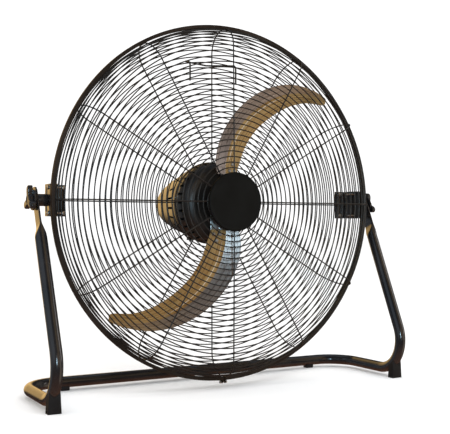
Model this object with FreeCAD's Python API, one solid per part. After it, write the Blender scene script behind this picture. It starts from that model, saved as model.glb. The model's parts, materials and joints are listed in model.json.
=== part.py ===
import FreeCAD, Part
import os
from math import cos, pi, radians, sin, sqrt, tan

# High-velocity floor fan: a tilting caged head with two sickle blades on a bent-tube stand.
# Units are millimetres.  The model is drawn about the hub, where the fan axis (along Y) meets the
# middle plane of the guard rim: +X is the viewer's right, -Y is the front and +Z is up.
# Each piece is moved to the floor frame when it is written.

V = FreeCAD.Vector

# ---- driving dimensions ----------------------------------------------------------------------
HUB_HEIGHT = 423.3            # fan axis above the floor
FLOOR = -HUB_HEIGHT

TUBE_R = 12.7                 # stand tube, one inch across
TUBE_WALL = 1.5
LEG_X = 428.0                 # middle plane of each leg
LEG_LEAN = radians(24.5)      # the legs lean forward on the way down
BEND_R = 75.0
PAD_HEIGHT = 6.0
LOOP_Z = FLOOR + PAD_HEIGHT + TUBE_R
CROSSBAR_Y = 140.0
ROUND_END_Z = -78.0           # the leg tube is round below this height
FLAT_START_Z = -50.0          # and pressed flat above this one
TAB_X = 429.0
TAB_HALF = 2.0                # half the thickness of the flattened end
TAB_WIDTH_R = 16.0            # half the width of the flattened end, and its rounded top
TAB_TOP_Z = 12.0              # centre of the rounded top, above the pivot
FOOT_Y = -90.0
FOOT_WIDTHS = (28.0, 23.0)       # at the floor and at the top
FOOT_DEPTH = 19.0
FOOT_HEIGHT = 47.0
REAR_PAD_X = 330.0

PIVOT_Y = 32.0                # tilt axis, behind the rim plane and level with the hub
PIVOT_R = 5.0
RUNNING_GAP = 0.06
BOSS_R = 13.0
BOSS_END_X = 426.6
SADDLE_X = 405.0              # outside of the saddle's side plate
SADDLE_END_X = 357.5          # inner end of its rear flange

RIM_R = 407.0                 # outside of the rolled rim
RIM_HALF_WIDTH = 7.0
RIM_WALL = 1.5
EDGE_WIRE_R = 2.5             # thick wire rolled into the rim, one for each half of the guard
EDGE_RING_R = RIM_R - RIM_WALL - 0.2 - EDGE_WIRE_R
EDGE_RING_Y = 2.7
SPOKE_R = 1.5
RING_R = 1.4
SPOKE_START_R = EDGE_RING_R - EDGE_WIRE_R - SPOKE_R
SPOKES = 12
FACE_RING_PITCH = 12.6
FRONT_SHOULDER = 44.5         # radius of the bent shoulder of each half
REAR_SHOULDER = 49.5
SHOULDER_Y = 5.5              # where the bend starts, each side of the rim plane
FRONT_CENTRE_Y = -54.0        # the front face domes slightly to here
FRONT_SPOKE_END_R = 40.0
REAR_SPOKE_END_R = 84.0
SIDE_RINGS = 6

BADGE_R = 66.5
BADGE_BACK_Y = FRONT_CENTRE_Y - SPOKE_R - 0.1
BADGE_FRONT_Y = BADGE_BACK_Y - 6.0

SHAFT_R = 8.0
BLADE_THICKNESS = 1.5
# Blade outline, root to tip: radius and angle of the trailing edge, radius and angle of the
# leading edge (degrees above +X, seen from the front), then the depth of the trailing edge, the
# pressed crease and the leading edge.
BLADE_STATIONS = (
    (70, 113.0, 70, 62.5, -24.0, -12.64, -4.16),
    (92, 110.8, 92, 64.5, -26.0, -12.48, -2.27),
    (140, 100.0, 140, 66.0, -29.0, -13.0, -2.5),
    (190, 88.8, 190, 63.2, -30.0, -14.0, -4.0),
    (240, 78.4, 240, 58.2, -29.0, -15.0, -6.0),
    (290, 68.0, 288, 53.0, -26.0, -15.0, -7.0),
    (335, 57.6, 328, 47.8, -21.0, -13.0, -7.5),
    (363, 49.4, 352, 43.6, -16.0, -11.0, -7.5),
    (377, 44.6, 364, 41.6, -12.0, -9.5, -7.5),
    (382, 42.4, 373, 41.0, -10.5, -9.0, -7.5),
)
CREASE_AT = 0.55              # crease position, from the leading edge to the trailing edge
SPIDER_FRONT_Y = -12.1
SPIDER_BACK_Y = -9.4
ARM_TILT = 14.5               # the arms lie flat against the root of each blade
ARM_FRONT_Y = -10.6           # where the arm's front face crosses the middle
RIVET_R = 2.5
RIVET_PLACES = ((12, 73), (28, 73), (21, 88))

MOTOR_FRONT_Y = 11.0
MOTOR_R = 95.0
CORE_FRONT_Y = 22.5
CORE_BACK_Y = 46.5
COIL_DEPTH = 7.0
CLAMP_Y = 51.5                # front of the ring that holds the rear spokes to the plate
PLATE_Y = 56.5
PLATE_BACK_Y = 59.0
PLATE_R = 96.5
PLATE_BOLT_R = 88.5
COVER_PLACES = ((95, 62), (87, 105), (77.5, 150), (68.5, 195), (58, 235), (49, 262), (33, 278))
COVER_END_Y = 282.0
GLAND_Y = 165.0
SPEED_SHAFT_R = 3.0
KNOB_FRONT_Y = COVER_END_Y + 1.0
KNOB_END_Y = KNOB_FRONT_Y + 17.0

TUBE_FRONT_Y = (PIVOT_Y + LOOP_Z * tan(LEG_LEAN) + BEND_R * tan((pi / 2 + LEG_LEAN) / 2)
                - BEND_R - TUBE_R)
TO_FLOOR = V(0, -(TUBE_FRONT_Y + KNOB_END_Y) / 2, HUB_HEIGHT)


# ---- helpers ----------------------------------------------------------------------------------
def save(name, solids):
    """Write one node: a list of separate solids, moved to the floor frame."""
    shape = solids[0] if len(solids) == 1 else Part.makeCompound(solids)
    shape = shape.copy()
    shape.translate(TO_FLOOR)
    shape.exportStep("parts/%s.step" % name)
    print("%-24s solids %2d  volume %9.1f  valid %s"
          % (name, len(shape.Solids), shape.Volume, shape.isValid()))


def rod(radius, start, end):
    axis = end.sub(start)
    return Part.makeCylinder(radius, axis.Length, start, axis)


def pipe(outer, inner, start, end):
    return rod(outer, start, end).cut(rod(inner, start, end))


def fan_rod(radius, y_start, y_end, x=0, z=0):
    """A round bar parallel to the fan axis."""
    return rod(radius, V(x, y_start, z), V(x, y_end, z))


def block(low, high):
    size = V(*high).sub(V(*low))
    return Part.makeBox(size.x, size.y, size.z, V(*low))


def turned(points, degrees=360):
    """Turn a closed outline of (radius, y) points about the fan axis."""
    corners = [V(r, y, 0) for r, y in points]
    face = Part.Face(Part.makePolygon(corners + corners[:1]))
    return face.revolve(V(0, 0, 0), V(0, 1, 0), degrees)


def around_axis(shape, degrees):
    """Turn a copy about the fan axis; positive runs from +X towards +Z."""
    copy = shape.copy()
    copy.rotate(V(0, 0, 0), V(0, -1, 0), degrees)
    return copy


def mirrored(shape):
    """The same piece on the other side."""
    return shape.mirror(V(0, 0, 0), V(1, 0, 0))


def line(start, end):
    return Part.LineSegment(start, end).toShape()


def rounded_path(corners, radius):
    """Straight runs through the corners, joined by tangent arcs."""
    edges = []
    start = corners[0]
    for before, corner, after in zip(corners, corners[1:], corners[2:]):
        into = corner.sub(before).normalize()
        out = after.sub(corner).normalize()
        half_turn = into.getAngle(out) / 2
        cut = radius * tan(half_turn)
        inward = out.sub(into).normalize()
        arc_start = corner.sub(into * cut)
        arc_end = corner.add(out * cut)
        arc_middle = corner.add(inward * (radius / cos(half_turn) - radius))
        edges.append(line(start, arc_start))
        edges.append(Part.Arc(arc_start, arc_middle, arc_end).toShape())
        start = arc_end
    edges.append(line(start, corners[-1]))
    return edges


def swept(radius, edges):
    """A round bar along a path."""
    path = Part.Wire(edges)
    first = edges[0]
    start = first.valueAt(first.FirstParameter)
    heading = first.tangentAt(first.FirstParameter)
    outline = Part.Wire(Part.makeCircle(radius, start, heading))
    return path.makePipeShell([outline], True, False)


# ---- stand --------------------------------------------------------------------------------------
def leg_point(z, x):
    """The point of the leg's centre line at a height."""
    return V(x, PIVOT_Y + z * tan(LEG_LEAN), z)


def stand_path():
    left = [leg_point(ROUND_END_Z, -LEG_X), leg_point(LOOP_Z, -LEG_X), V(-LEG_X, CROSSBAR_Y, LOOP_Z)]
    right = [V(-p.x, p.y, p.z) for p in reversed(left)]
    return rounded_path(left + right, BEND_R)


def leg_section(z, x, half_width, half_thickness):
    """One oval section across the leg, for the pressed-flat transition."""
    centre = leg_point(z, x)
    across = V(0, cos(LEG_LEAN), -sin(LEG_LEAN))
    oval = Part.Ellipse(centre.add(across * half_width), centre.add(V(half_thickness, 0, 0)), centre)
    return Part.Wire(oval.toShape())


def leg_end():
    """The right leg's pressed neck, a loft from round to flat, and its flat top with a rounded end."""
    middle_z = (ROUND_END_Z + FLAT_START_Z) / 2
    loft = Part.makeLoft([
        leg_section(ROUND_END_Z - 2, LEG_X, TUBE_R, TUBE_R - 0.1),
        leg_section(middle_z, LEG_X + 1, TUBE_R + 1.6, TUBE_R * 0.6),
        leg_section(FLAT_START_Z, TAB_X, TAB_WIDTH_R, TAB_HALF),
    ], True, False)
    across = V(0, cos(LEG_LEAN), -sin(LEG_LEAN)) * TAB_WIDTH_R
    foot = leg_point(FLAT_START_Z, TAB_X - TAB_HALF)
    top = leg_point(TAB_TOP_Z, TAB_X - TAB_HALF)
    crown = top.add(V(0, sin(LEG_LEAN), cos(LEG_LEAN)) * TAB_WIDTH_R)
    outline = Part.Wire([
        line(foot.sub(across), top.sub(across)),
        Part.Arc(top.sub(across), crown, top.add(across)).toShape(),
        line(top.add(across), foot.add(across)),
        line(foot.add(across), foot.sub(across)),
    ])
    tab = Part.Face(outline).extrude(V(2 * TAB_HALF, 0, 0))
    for z, radius in ((0, PIVOT_R + RUNNING_GAP), (-33, 4.0)):
        hole = leg_point(z, TAB_X)
        tab = tab.cut(rod(radius, hole.sub(V(9, 0, 0)), hole.add(V(9, 0, 0))))
    return loft, tab


def tapered_foot():
    """A block under the bend, wider at the floor than at the top."""
    sections = []
    for z, width in zip((FLOOR, FLOOR + FOOT_HEIGHT), FOOT_WIDTHS):
        corners = []
        for x, y in ((-1, -1), (1, -1), (1, 1), (-1, 1)):
            corners.append(V(LEG_X + x * width / 2, FOOT_Y + y * FOOT_DEPTH / 2, z))
        sections.append(Part.makePolygon(corners + corners[:1]))
    foot = Part.makeLoft(sections, True, True)
    upright = [e for e in foot.Edges if abs(e.tangentAt(e.FirstParameter).z) > 0.9]
    return foot.makeFillet(1.5, upright)


def make_stand():
    path = stand_path()
    neck, tab = leg_end()
    save("right_leg_tab", [tab])
    save("left_leg_tab", [mirrored(tab)])
    bore = swept(TUBE_R - TUBE_WALL, path)
    drain = rod(3, V(0, CROSSBAR_Y, LOOP_Z - TUBE_R - 2), V(0, CROSSBAR_Y, LOOP_Z))
    loop = swept(TUBE_R, path).cut([bore, drain])
    neck = neck.cut(bore)
    save("stand_tube", [loop.fuse([neck, mirrored(neck)]).removeSplitter()])

    foot = tapered_foot()
    slot = block((LEG_X + 10, FOOT_Y - 3, FLOOR - 1), (LEG_X + 16, FOOT_Y + 3, FLOOR + 8))
    foot = foot.cut([swept(TUBE_R, path), slot])
    foot = max(foot.Solids, key=lambda s: s.Volume)
    save("right_front_foot", [foot])
    save("left_front_foot", [mirrored(foot)])

    pad = block((REAR_PAD_X - 9.5, CROSSBAR_Y - 9, FLOOR), (REAR_PAD_X + 9.5, CROSSBAR_Y + 9, LOOP_Z - 1))
    pad = pad.cut(rod(TUBE_R, V(REAR_PAD_X - 20, CROSSBAR_Y, LOOP_Z),
                      V(REAR_PAD_X + 20, CROSSBAR_Y, LOOP_Z)))
    save("rear_foot_pads", [pad, mirrored(pad)])


# ---- guard ----------------------------------------------------------------------------------------
def shoulder_point(side, bend, angle, offset):
    """A point on the guard's shoulder: angle 0 at the rim, 90 degrees at the face."""
    centre_r = SPOKE_START_R - bend
    radius = bend + offset
    return (centre_r + radius * cos(angle), side * (SHOULDER_Y + radius * sin(angle)))


def make_spokes(name, side, bend, end_r, end_y):
    start = V(SPOKE_START_R, side * 1.0, 0)
    bend_start = V(SPOKE_START_R, side * SHOULDER_Y, 0)
    half_way = shoulder_point(side, bend, pi / 4, 0)
    face_r, face_y = shoulder_point(side, bend, pi / 2, 0)
    edges = [
        line(start, bend_start),
        Part.Arc(bend_start, V(half_way[0], half_way[1], 0), V(face_r, face_y, 0)).toShape(),
        line(V(face_r, face_y, 0), V(end_r, end_y, 0)),
    ]
    spoke = swept(SPOKE_R, edges)
    save(name, [around_axis(spoke, 360.0 / SPOKES * i) for i in range(SPOKES)])


def make_face_rings(name, radii, face_y, centre_y, face_r, side):
    """Concentric wires welded to the inside of the spokes."""
    inset = SPOKE_R + RING_R
    rings = []
    for radius in radii:
        y = centre_y + (face_y - centre_y) * radius / face_r - side * inset
        rings.append(Part.makeTorus(radius, RING_R, V(0, y, 0), V(0, 1, 0)))
    save(name, rings)


def make_side_rings(name, side, bend):
    inset = SPOKE_R + RING_R
    rings = []
    for i in range(1, SIDE_RINGS + 1):
        r, y = shoulder_point(side, bend, pi / 2 * i / (SIDE_RINGS + 1), -inset)
        rings.append(Part.makeTorus(r, RING_R, V(0, y, 0), V(0, 1, 0)))
    save(name, rings)


def make_guard():
    front_face_r, front_face_y = shoulder_point(-1, FRONT_SHOULDER, pi / 2, 0)
    rear_face_r, rear_face_y = shoulder_point(1, REAR_SHOULDER, pi / 2, 0)
    make_spokes("front_guard_spokes", -1, FRONT_SHOULDER, FRONT_SPOKE_END_R, FRONT_CENTRE_Y)
    make_spokes("rear_guard_spokes", 1, REAR_SHOULDER, REAR_SPOKE_END_R, rear_face_y)
    front_radii = [front_face_r - FACE_RING_PITCH * i for i in range(23)]
    rear_radii = [rear_face_r - 5.7 - FACE_RING_PITCH * i for i in range(20)]
    make_face_rings("front_face_rings", front_radii, front_face_y, FRONT_CENTRE_Y, front_face_r, -1)
    make_face_rings("rear_face_rings", rear_radii, rear_face_y, rear_face_y, rear_face_r, 1)
    make_side_rings("front_side_rings", -1, FRONT_SHOULDER)
    make_side_rings("rear_side_rings", 1, REAR_SHOULDER)

    save("front_edge_ring", [Part.makeTorus(EDGE_RING_R, EDGE_WIRE_R, V(0, -EDGE_RING_Y, 0), V(0, 1, 0))])
    save("rear_edge_ring", [Part.makeTorus(EDGE_RING_R, EDGE_WIRE_R, V(0, EDGE_RING_Y, 0), V(0, 1, 0))])

    lip_r = EDGE_RING_R - EDGE_WIRE_R + 0.1
    inner_r = RIM_R - RIM_WALL
    inner_half = RIM_HALF_WIDTH - RIM_WALL
    rim = turned([(RIM_R - 2, -RIM_HALF_WIDTH), (RIM_R, -RIM_HALF_WIDTH + 2), (RIM_R, RIM_HALF_WIDTH - 2),
                  (RIM_R - 2, RIM_HALF_WIDTH), (lip_r, RIM_HALF_WIDTH), (lip_r, inner_half),
                  (inner_r, inner_half), (inner_r, -inner_half), (lip_r, -inner_half),
                  (lip_r, -RIM_HALF_WIDTH)])
    split = block((-1.0, -20, -RIM_R - 20), (1.0, 20, -EDGE_RING_R))
    ears = []
    for side in (-1, 1):
        ear = block((1.0, -5, -RIM_R - 8), (3.4, 5, -RIM_R + 0.8))
        ear.rotate(V(1, 0, -RIM_R), V(0, 1, 0), -18)
        ears.append(ear if side > 0 else mirrored(ear))
    rim = rim.cut(split).fuse(ears)
    screw_z = -RIM_R - 4.0
    head = rod(3.4, V(-9, 0, screw_z), V(-6.6, 0, screw_z))
    screw = rod(1.8, V(-7, 0, screw_z), V(7, 0, screw_z)).fuse(head)
    rim = rim.cut(rod(1.8, V(-12, 0, screw_z), V(12, 0, screw_z)))
    save("guard_rim", [rim])
    save("rim_clamp_screw", [screw])
    save("rim_clamp_nut", [pipe(3.2, 1.8, V(6.0, 0, screw_z), V(8.4, 0, screw_z))])


def make_badge():
    front, back = BADGE_FRONT_Y, BADGE_BACK_Y
    badge = turned([(0, front + 0.6), (BADGE_R - 7, front + 0.6), (BADGE_R - 5.5, front), (BADGE_R - 2.5, front),
                    (BADGE_R, front + 2.5), (BADGE_R, back), (BADGE_R - 1.8, back), (BADGE_R - 1.8, front + 3.6),
                    (FRONT_SPOKE_END_R, front + 2.6), (FRONT_SPOKE_END_R, back), (0, back)])
    plate_front = FRONT_CENTRE_Y + SPOKE_R + 0.3
    plate = turned([(0, plate_front), (52, plate_front), (52, plate_front + 2), (0, plate_front + 2)])
    screws = []
    for angle in (45, 135, 225, 315):
        x = 28 * cos(radians(angle))
        z = 28 * sin(radians(angle))
        shank = fan_rod(1.6, back - 2.2, plate_front + 2, x, z)
        screws.append(shank.fuse(fan_rod(3.2, plate_front + 2, plate_front + 4, x, z)))
    save("front_badge", [badge.cut(screws)])
    save("badge_backplate", [plate.cut(screws)])
    save("badge_screws", screws)


def make_carry_handle():
    wire = 2.0
    rear_y = SHOULDER_Y + REAR_SHOULDER - SPOKE_R + wire
    half = 61.0
    middle = 4.0              # the handle sits a little to the right of the middle
    left = [V(-half, rear_y, 285), V(-half, rear_y, 330), V(-half, rear_y + 34, 336)]
    right = [V(half, p.y, p.z) for p in reversed(left)]
    corners = left + [V(0, rear_y + 36, 331)] + right
    corners = [p.add(V(middle, 0, 0)) for p in corners]
    save("carry_handle", [swept(wire, rounded_path(corners, 12.0))])


# ---- fan ------------------------------------------------------------------------------------------
def blade_section(station):
    """A creased strip across the blade, as a closed outline in one plane."""
    trailing_r, trailing, leading_r, leading, trailing_y, crease_y, leading_y = station
    leading_edge = V(leading_r * cos(radians(leading)), leading_y, leading_r * sin(radians(leading)))
    trailing_edge = V(trailing_r * cos(radians(trailing)), trailing_y, trailing_r * sin(radians(trailing)))
    crease = leading_edge + (trailing_edge - leading_edge) * CREASE_AT
    crease.y = crease_y
    front = [leading_edge, crease, trailing_edge]
    back = [p.add(V(0, BLADE_THICKNESS, 0)) for p in reversed(front)]
    return Part.makePolygon(front + back + front[:1])


def on_arm(shape):
    """Lay a piece drawn on a flat arm onto the tilted arm of the upper blade."""
    copy = shape.copy()
    copy.rotate(V(0, 0, 0), V(0, 0, 1), ARM_TILT)
    copy.translate(V(0, ARM_FRONT_Y, 0))
    return copy


def make_fan():
    arm_thickness = SPIDER_BACK_Y - SPIDER_FRONT_Y
    shanks = []
    rivets = []
    for x, z in RIVET_PLACES:
        shank = fan_rod(RIVET_R, -2.45, arm_thickness, x, z)
        front_head = Part.makeCone(RIVET_R, RIVET_R + 2, 1.6, V(x, -4.05, z), V(0, 1, 0))
        back_head = fan_rod(RIVET_R + 1.6, arm_thickness, arm_thickness + 1.4, x, z)
        shanks.append(on_arm(fan_rod(RIVET_R, -8, 8, x, z)))
        rivets.append(on_arm(shank.fuse([front_head, back_head])))
    blade = Part.makeLoft([blade_section(s) for s in BLADE_STATIONS], True, False)
    blade = blade.cut(shanks)
    save("upper_blade", [blade])
    save("lower_blade", [around_axis(blade, 180)])

    root = block((-20, 0, 8), (34, arm_thickness, 42))
    arm = on_arm(block((6, 0, 10), (34, arm_thickness, 99)).fuse(root))
    arm = arm.cut(shanks)
    disc = fan_rod(46, SPIDER_FRONT_Y, SPIDER_BACK_Y)
    hub = fan_rod(19, -38, SPIDER_BACK_Y)
    spider = disc.fuse([hub, arm, around_axis(arm, 180)]).cut(fan_rod(SHAFT_R, -60, 60))
    save("hub_spider", [spider.removeSplitter()])
    save("blade_rivets", rivets + [around_axis(r, 180) for r in rivets])

    save("rotor_shaft", [fan_rod(SHAFT_R, -43, 70)])
    save("rotor_core", [fan_rod(39.5, CORE_FRONT_Y, CORE_BACK_Y).cut(fan_rod(SHAFT_R, 0, 60))])
    nut_blank = fan_rod(14, -43, -38)
    flats = [around_axis(block((11.5, -50, -20), (20, -30, 20)), 60 * i) for i in range(6)]
    save("hub_nut", [nut_blank.cut(flats + [fan_rod(SHAFT_R, -50, -30)])])


# ---- motor ----------------------------------------------------------------------------------------
def ring_of(shape, count, first=0.0):
    return [around_axis(shape, first + 360.0 / count * i) for i in range(count)]


def make_motor_front():
    y = MOTOR_FRONT_Y
    outside = [(17.5, y), (68, y), (80, y + 4), (88, y + 11), (93, y + 21), (MOTOR_R, y + 31),
               (MOTOR_R - 0.5, CLAMP_Y)]
    inside = [(MOTOR_R - 3.2, CLAMP_Y), (MOTOR_R - 3, y + 31), (90, y + 21.8), (85, y + 12.5), (78, y + 7),
              (67, y + 3), (21, y + 3), (21, y + 11), (17.5, y + 11)]
    bell = turned(outside + inside)
    slot = block((MOTOR_R - 12, y + 17, -3), (MOTOR_R + 6, CLAMP_Y - 4, 3))
    save("motor_front_bell", [bell.cut(ring_of(slot, 30))])
    save("front_bearing", [fan_rod(17.5, y + 0.5, y + 9.5).cut(fan_rod(SHAFT_R + RUNNING_GAP, 0, 30))])
    save("rear_bearing", [fan_rod(17.5, PLATE_Y, PLATE_Y + 10).cut(fan_rod(SHAFT_R + RUNNING_GAP, 50, 80))])

    bolt_front = CORE_FRONT_Y - 2.5
    bolts = ring_of(fan_rod(2.5, bolt_front, PLATE_Y, 72, 0), 4, 45)
    core = fan_rod(80, CORE_FRONT_Y, CORE_BACK_Y).cut([fan_rod(40.3, 0, 60)] + bolts)
    save("stator_core", [core])
    front_coil = fan_rod(66, CORE_FRONT_Y - COIL_DEPTH, CORE_FRONT_Y)
    rear_coil = fan_rod(66, CORE_BACK_Y, CORE_BACK_Y + COIL_DEPTH)
    inside = fan_rod(45, 0, 60)
    save("stator_windings", [front_coil.cut(inside), rear_coil.cut(inside)])
    heads = ring_of(fan_rod(4.2, bolt_front, CORE_FRONT_Y, 72, 0), 4, 45)
    spacer = fan_rod(4.0, CORE_BACK_Y, PLATE_Y, 72, 0).cut(fan_rod(2.5, 40, 60, 72, 0))
    save("stator_bolts", [bolt.fuse(head) for bolt, head in zip(bolts, heads)])
    save("stator_spacers", ring_of(spacer, 4, 45))


def plate_bolt_holes():
    return ring_of(fan_rod(2.0, 40, 80, PLATE_BOLT_R, 0), 6, 15)


def make_motor_plate():
    seat = fan_rod(21, PLATE_Y, PLATE_Y + 12)
    plate = fan_rod(PLATE_R, PLATE_Y, PLATE_BACK_Y).fuse(seat).cut(fan_rod(17.5, 50, 80))
    windows = ring_of(fan_rod(12, 50, 80, 46, 0), 6)
    save("motor_mount_plate", [plate.cut(windows + plate_bolt_holes())])
    shank = fan_rod(2.0, CLAMP_Y, PLATE_BACK_Y + 5, PLATE_BOLT_R, 0)
    head = fan_rod(3.2, PLATE_BACK_Y + 3, PLATE_BACK_Y + 5.5, PLATE_BOLT_R, 0)
    save("motor_plate_bolts", ring_of(shank.fuse(head), 6, 15))
    clamp = fan_rod(MOTOR_R, CLAMP_Y, CLAMP_Y + 2).cut(fan_rod(REAR_SPOKE_END_R, 40, 60))
    save("guard_clamp_ring", [clamp.cut(plate_bolt_holes())])


def cover_profile(offset):
    """The rounded rear cover's outline, as a curve through a few (radius, y) places."""
    points = [V(r - offset, y - offset * 0.3, 0) for r, y in COVER_PLACES[1:-1]]
    points.insert(0, V(COVER_PLACES[0][0] - offset, COVER_PLACES[0][1], 0))
    points.append(V(COVER_PLACES[-1][0] - offset * 0.7, COVER_PLACES[-1][1] - offset * 0.7, 0))
    curve = Part.BSplineCurve()
    curve.interpolate(points + [V(22, COVER_END_Y - offset, 0)])
    return curve.toShape()


def cover_body():
    outer = cover_profile(0)
    inner = cover_profile(2.5)
    outer_start, outer_end = outer.Vertexes[0].Point, outer.Vertexes[-1].Point
    inner_start, inner_end = inner.Vertexes[0].Point, inner.Vertexes[-1].Point
    hole_outer = V(SPEED_SHAFT_R + 0.1, COVER_END_Y, 0)
    hole_inner = V(SPEED_SHAFT_R + 0.1, COVER_END_Y - 2.5, 0)
    outline = Part.Wire([
        outer, line(outer_end, hole_outer), line(hole_outer, hole_inner), line(hole_inner, inner_end),
        inner, line(inner_start, outer_start),
    ])
    return Part.Face(outline).revolve(V(0, 0, 0), V(0, 1, 0), 360)


def make_motor_rear():
    flange = turned([(84, PLATE_BACK_Y), (PLATE_R, PLATE_BACK_Y), (PLATE_R, PLATE_BACK_Y + 3), (84, PLATE_BACK_Y + 3)])
    slot = block((60, 76, -2.6), (110, 126, 2.6))
    cover = cover_body().fuse(flange)
    cuts = ring_of(slot, 24, 7.5) + plate_bolt_holes()
    cuts.append(rod(8, V(0, GLAND_Y, -100), V(0, GLAND_Y, -40)))
    save("motor_rear_cover", [cover.cut(cuts)])
    gland = pipe(8, 4, V(0, GLAND_Y, -88), V(0, GLAND_Y, -66))
    collar = pipe(11, 4, V(0, GLAND_Y, -88), V(0, GLAND_Y, -80.5))
    save("cable_gland", [gland.fuse(collar)])
    save("capacitor", [rod(15, V(-26, 100, 48), V(26, 100, 48))])
    clip = block((-6, PLATE_BACK_Y, 30), (6, 117, 32)).fuse(block((-6, 115, 32), (6, 117, 60)))
    save("capacitor_clip", [clip.cut(rod(15, V(-26, 100, 48), V(26, 100, 48)))])
    switch = block((-17, COVER_END_Y - 30, -14), (17, COVER_END_Y - 2.5, 14))
    save("speed_switch", [switch.cut(fan_rod(SPEED_SHAFT_R + RUNNING_GAP, COVER_END_Y - 18, COVER_END_Y))])

    knob = turned([(0, KNOB_FRONT_Y), (17, KNOB_FRONT_Y), (17, KNOB_FRONT_Y + 3), (14, KNOB_FRONT_Y + 5),
                   (13, KNOB_END_Y - 1.5), (11.5, KNOB_END_Y), (0, KNOB_END_Y)])
    grips = [around_axis(fan_rod(1.6, KNOB_FRONT_Y + 5, KNOB_END_Y + 1, 14.2, 0), 30 * i) for i in range(12)]
    save("speed_knob", [knob.cut(grips)])
    save("speed_knob_shaft", [fan_rod(SPEED_SHAFT_R, COVER_END_Y - 17, KNOB_FRONT_Y)])


# ---- pivots ---------------------------------------------------------------------------------------
def wire_envelope(offset):
    """The rear half of the guard as a filled body, grown by an offset from the spoke centre line."""
    centre_r = SPOKE_START_R - REAR_SHOULDER
    radius = REAR_SHOULDER + offset
    points = [(0, -30), (centre_r + radius, -30)]
    for i in range(13):
        angle = pi / 2 * i / 12
        points.append((centre_r + radius * cos(angle), SHOULDER_Y + radius * sin(angle)))
    points.append((0, SHOULDER_Y + radius))
    return turned(points)


def saddle_plate(half_height):
    """A bent plate: flat beside the guard, then turned in behind the rear face."""
    outline = [V(SADDLE_END_X, 56.9, 0), V(391, 55.6, 0), V(SADDLE_X - 2.5, 45, 0)]
    outline += [V(SADDLE_X - 2.5, RIM_HALF_WIDTH + 1, 0)]
    outline += [V(SADDLE_X, RIM_HALF_WIDTH + 1, 0), V(SADDLE_X, 46, 0), V(392.5, 58.2, 0), V(SADDLE_END_X, 59.4, 0)]
    face = Part.Face(Part.makePolygon(outline + outline[:1]))
    plate = face.extrude(V(0, 0, 2 * half_height))
    plate.translate(V(0, 0, -half_height))
    return plate


def make_pivots():
    """Everything on the right pivot, and its mirror image on the left."""
    half_height = 34.0
    saddle = saddle_plate(half_height)
    post = rod(9, V(395, PIVOT_Y, 0), V(SADDLE_X - 1, PIVOT_Y, 0))
    saddle = saddle.fuse(post).cut(wire_envelope(SPOKE_R + 0.1))
    saddle = max(saddle.Solids, key=lambda s: s.Volume)

    inner_skin = wire_envelope(-SPOKE_R - 2 * RING_R - 0.1)
    inner_plate = inner_skin.cut(wire_envelope(-SPOKE_R - 2 * RING_R - 2.1))
    inner_plate = inner_plate.common(block((380, RIM_HALF_WIDTH - 3, -half_height), (420, 36.5, half_height)))

    screws = []
    for z in (-27, 27):
        for y in (20.9, 30.3):
            shank = rod(2.0, V(376, y, z), V(SADDLE_X, y, z))
            screws.append(shank.fuse(rod(4.0, V(SADDLE_X, y, z), V(SADDLE_X + 2.4, y, z))))
        bolt = fan_rod(2.0, 43.5, 59.4, 363.9, z)
        screws.append(bolt.fuse([fan_rod(4.0, 59.4, 61.8, 363.9, z), fan_rod(4.4, 43.5, 45.9, 363.9, z)]))

    stud_end = TAB_X + TAB_HALF + 11.0
    stud = rod(PIVOT_R, V(399, PIVOT_Y, 0), V(stud_end, PIVOT_Y, 0))
    boss = rod(BOSS_R, V(SADDLE_X, PIVOT_Y, 0), V(BOSS_END_X, PIVOT_Y, 0)).cut(stud)
    cuts = screws + [stud]
    pieces = {
        "pivot_saddle": saddle.cut(cuts),
        "inner_clamp_plate": inner_plate.cut(screws),
        "pivot_boss": boss,
        "pivot_stud": stud,
    }
    knob_x = TAB_X + TAB_HALF + 0.5
    pieces["pivot_washer"] = pipe(12, PIVOT_R + RUNNING_GAP, V(knob_x, PIVOT_Y, 0), V(knob_x + 1.6, PIVOT_Y, 0))
    pieces["pivot_knob"] = pivot_knob(knob_x + 1.6)
    for name, piece in pieces.items():
        save("right_" + name, [piece])
        save("left_" + name, [mirrored(piece)])
    save("saddle_screws", screws + [mirrored(s) for s in screws])


def pivot_knob(start_x):
    """A round skirt with three rounded lobes, bored for the stud."""
    skirt = rod(22, V(start_x, PIVOT_Y, 0), V(start_x + 4, PIVOT_Y, 0))
    grip_start, grip_end = start_x + 4, start_x + 14
    grip = rod(13, V(grip_start, PIVOT_Y, 0), V(grip_end, PIVOT_Y, 0))
    lobes = []
    for turn in (0, 120, 240):
        angle = radians(90 + turn)
        lobe_y = PIVOT_Y + 23 * cos(angle)
        lobe_z = 23 * sin(angle)
        lobes.append(rod(8.0, V(grip_start, lobe_y, lobe_z), V(grip_end, lobe_y, lobe_z)))
        web = block((grip_start, PIVOT_Y, -6), (grip_end, PIVOT_Y + 23, 6))
        web.rotate(V(0, PIVOT_Y, 0), V(1, 0, 0), 90 + turn)
        lobes.append(web)
    body = skirt.fuse([grip] + lobes)
    bore = rod(PIVOT_R + RUNNING_GAP, V(start_x - 1, PIVOT_Y, 0), V(grip_end - 2, PIVOT_Y, 0))
    return body.cut(bore).removeSplitter()


os.makedirs("parts", exist_ok=True)
make_stand()
make_guard()
make_badge()
make_carry_handle()
make_fan()
make_motor_front()
make_motor_plate()
make_motor_rear()
make_pivots()
print("row frame shift", TO_FLOOR)
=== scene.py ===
import json
from math import ceil, copysign, cos, pi, radians, sin, sqrt, tan

import bmesh
import bpy
from mathutils import Matrix, Quaternion, Vector


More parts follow.
